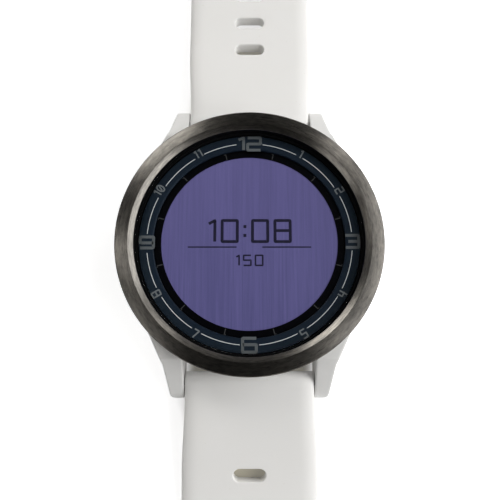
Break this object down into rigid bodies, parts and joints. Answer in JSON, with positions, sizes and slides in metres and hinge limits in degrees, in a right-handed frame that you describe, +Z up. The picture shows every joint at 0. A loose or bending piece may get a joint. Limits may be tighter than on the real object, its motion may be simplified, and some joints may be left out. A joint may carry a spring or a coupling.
{
  "type": "golf GPS watch",
  "caption": "Round wrist watch for golf: white plastic case, brushed dark bezel, reflective display with an hour ring, slotted white silicone strap and pin buckle.",
  "frame": {"origin": "centre of the case back's outer face, which rests on the table", "axes": "+Z up through the dial, +Y towards 12 o'clock and the buckle, +X towards 3 o'clock and the button"},
  "size_m": [0.045, 0.2509, 0.0121],
  "materials": {
    "white_shell": "fine matt moulded plastic",
    "dark_back": "fine matt moulded plastic",
    "bezel_steel": "gunmetal coated, brushed in circles",
    "lens_glass": "clear and polished",
    "ring_print": "dark blue-black ring with printed numerals",
    "black_film": "black printed film",
    "display_glass": "violet reflective display",
    "light_guide": "white moulded light guide",
    "black_frame": "glass-filled moulded plastic",
    "seal_rubber": "soft black rubber",
    "board_green": "green solder mask",
    "tin_can": "tinned sheet",
    "chip_black": "moulded chip package",
    "copper_film": "amber polyimide film",
    "gold_plate": "gold plated",
    "cell_foil": "laminated foil pouch",
    "foam": "foam tape",
    "cream_plastic": "moulded connector",
    "red_wire": "insulated wire",
    "plain_steel": "bright drawn steel",
    "button_white": "fine matt moulded plastic",
    "white_silicone": "matt silicone rubber",
    "buckle_steel": "brushed, softly rounded"
  },
  "bodies": {
    "case": {"case_body": "white_shell", "case_back": "dark_back", "back_gasket": "seal_rubber", "back_screws": "plain_steel", "bezel": "bezel_steel", "cover_lens": "lens_glass", "lens_gasket": "seal_rubber", "bezel_gasket": "seal_rubber", "hour_ring": "ring_print", "display_mask": "black_film", "display_panel": "display_glass", "backlight": "light_guide", "display_carrier": "black_frame", "display_flex": "copper_film", "main_board": "board_green", "satellite_receiver": "tin_can", "board_chips": "chip_black", "radio_module": "tin_can", "board_screws": "plain_steel", "satellite_antenna": "copper_film", "battery": "cell_foil", "battery_pad": "foam", "battery_plug": "cream_plastic", "battery_leads": "red_wire", "vibration_motor": "plain_steel", "buzzer": "chip_black", "charge_contacts": "gold_plate", "contact_pins": "gold_plate", "button_switch": "tin_can", "button_seal": "seal_rubber", "button_spring": "plain_steel"},
    "button": {"side_button": "button_white", "button_clip": "plain_steel"},
    "strap_upper": {"strap_upper": "white_silicone", "upper_bar_tube": "plain_steel", "upper_bar_spring": "plain_steel", "keeper_fixed": "white_silicone"},
    "upper_tip": {"upper_bar_tip": "plain_steel"},
    "upper_release": {"upper_bar_release": "plain_steel"},
    "strap_lower": {"strap_lower": "white_silicone", "lower_bar_tube": "plain_steel", "lower_bar_spring": "plain_steel"},
    "lower_tip": {"lower_bar_tip": "plain_steel"},
    "lower_release": {"lower_bar_release": "plain_steel"},
    "keeper_free": {"keeper_free": "white_silicone"},
    "buckle": {"buckle_frame": "buckle_steel", "buckle_pin": "plain_steel"},
    "tongue": {"buckle_tongue": "buckle_steel"}
  },
  "joints": [
    {"name": "button_press", "type": "slide", "parent": "case", "child": "button", "axis": [-1, 0, 0], "range_m": [0, 0.0005], "stiffness_N_per_m": 1500, "springref_m": -0.0003, "deforming": ["button_spring"]},
    {"name": "strap_upper_hinge", "type": "hinge", "parent": "case", "child": "strap_upper", "pos_m": [0, 0.0236, 0.0038], "axis": [1, 0, 0], "range_deg": [-75, 45]},
    {"name": "strap_lower_hinge", "type": "hinge", "parent": "case", "child": "strap_lower", "pos_m": [0, -0.0236, 0.0038], "axis": [-1, 0, 0], "range_deg": [-75, 45]},
    {"name": "upper_tip_slide", "type": "slide", "parent": "strap_upper", "child": "upper_tip", "axis": [1, 0, 0], "range_m": [0, 0.0011], "stiffness_N_per_m": 900, "springref_m": -0.0008, "deforming": ["upper_bar_spring"]},
    {"name": "upper_release_slide", "type": "slide", "parent": "strap_upper", "child": "upper_release", "axis": [-1, 0, 0], "range_m": [0, 0.0011], "stiffness_N_per_m": 900, "springref_m": -0.0008, "deforming": ["upper_bar_spring"]},
    {"name": "lower_tip_slide", "type": "slide", "parent": "strap_lower", "child": "lower_tip", "axis": [1, 0, 0], "range_m": [0, 0.0011], "stiffness_N_per_m": 900, "springref_m": -0.0008, "deforming": ["lower_bar_spring"]},
    {"name": "lower_release_slide", "type": "slide", "parent": "strap_lower", "child": "lower_release", "axis": [-1, 0, 0], "range_m": [0, 0.0011], "stiffness_N_per_m": 900, "springref_m": -0.0008, "deforming": ["lower_bar_spring"]},
    {"name": "keeper_slide", "type": "slide", "parent": "strap_upper", "child": "keeper_free", "axis": [0, 1, 0], "range_m": [-0.0045, 0.005]},
    {"name": "buckle_hinge", "type": "hinge", "parent": "strap_upper", "child": "buckle", "pos_m": [0, 0.098, 0.00255], "axis": [1, 0, 0], "range_deg": [-60, 45]},
    {"name": "tongue_hinge", "type": "hinge", "parent": "buckle", "child": "tongue", "pos_m": [0, 0.098, 0.00255], "axis": [1, 0, 0], "range_deg": [0, 75]}
  ]
}
